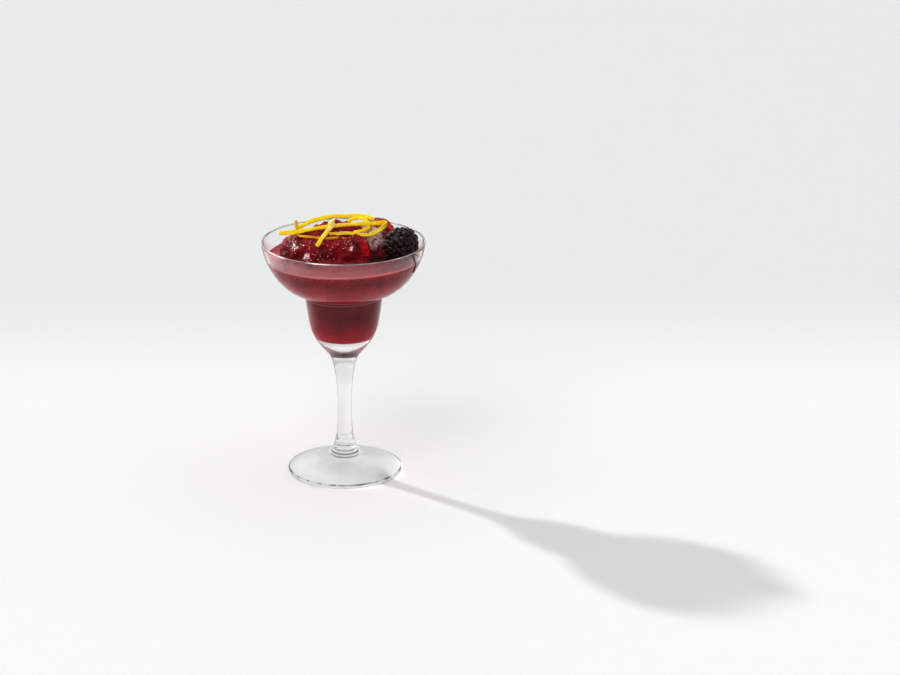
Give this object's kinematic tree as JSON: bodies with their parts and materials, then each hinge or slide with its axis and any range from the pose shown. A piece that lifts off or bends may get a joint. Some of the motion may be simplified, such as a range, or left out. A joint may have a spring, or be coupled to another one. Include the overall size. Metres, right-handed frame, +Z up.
{
  "type": "frozen margarita",
  "caption": "Frozen red margarita in a clear stepped stem glass, heaped with slush and topped with a dark berry and strips of lemon zest.",
  "frame": {"origin": "middle of the foot's underside, on the surface that the glass stands on", "axes": "+Z up along the stem, +X to the right and +Y away as the drink is seen in the picture"},
  "size_m": [0.113, 0.113, 0.1832],
  "materials": {
    "clear_glass": "clear polished glass",
    "drink": "wet blended ice, dark raspberry red with fine pale specks",
    "slush": "wet frozen slush, deep red, crystals that glint",
    "berry": "glossy near-black skin with a purple tinge",
    "zest": "pebbled lemon peel, paler on the pith side"
  },
  "bodies": {
    "root": {"glass": "clear_glass", "drink": "drink", "slush_front": "slush", "slush_right": "slush", "slush_left": "slush", "berry": "berry", "zest_long": "zest", "zest_arch": "zest", "zest_tail": "zest", "zest_cross": "zest", "zest_curl": "zest"}
  },
  "joints": []
}
